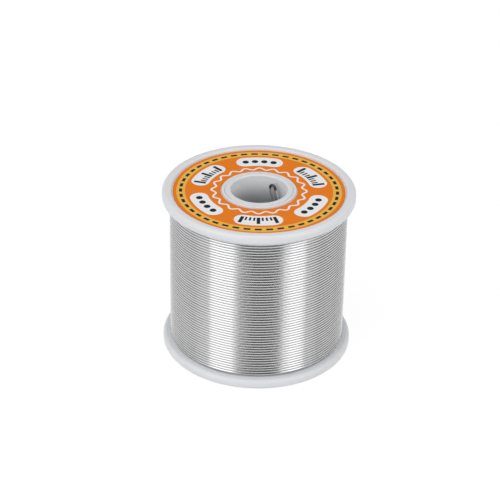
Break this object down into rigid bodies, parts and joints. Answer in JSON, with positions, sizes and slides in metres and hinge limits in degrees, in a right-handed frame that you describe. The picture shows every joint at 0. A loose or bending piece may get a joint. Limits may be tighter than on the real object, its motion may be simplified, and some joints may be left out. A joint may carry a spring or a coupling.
{
  "type": "solder wire spool",
  "caption": "Bright solder wire closely wound on a white plastic spool with round-rimmed flanges, an open bore for a spindle and an orange paper ring label on top.",
  "frame": {"origin": "on the spool's axis, in the plane of the lower rim that it stands on", "axes": "+Z along the spool's axis towards the labelled flange; the picture looks along +Y, and the wire's start end lies in the bore towards +X and +Y"},
  "size_m": [0.067, 0.067, 0.061],
  "materials": {
    "white_plastic": "cool white moulded plastic, satin, faintly translucent",
    "printed_paper": "coated paper printed in orange, white and yellow",
    "solder": "bright drawn solder wire",
    "flux": "amber flux resin"
  },
  "bodies": {
    "root": {"hub_barrel": "white_plastic", "upper_flange": "white_plastic", "lower_flange": "white_plastic", "top_label": "printed_paper", "wire_inner_layers": "solder", "wire_outer_layer": "solder", "wire_start_end": "solder", "flux_core": "flux"}
  },
  "joints": []
}
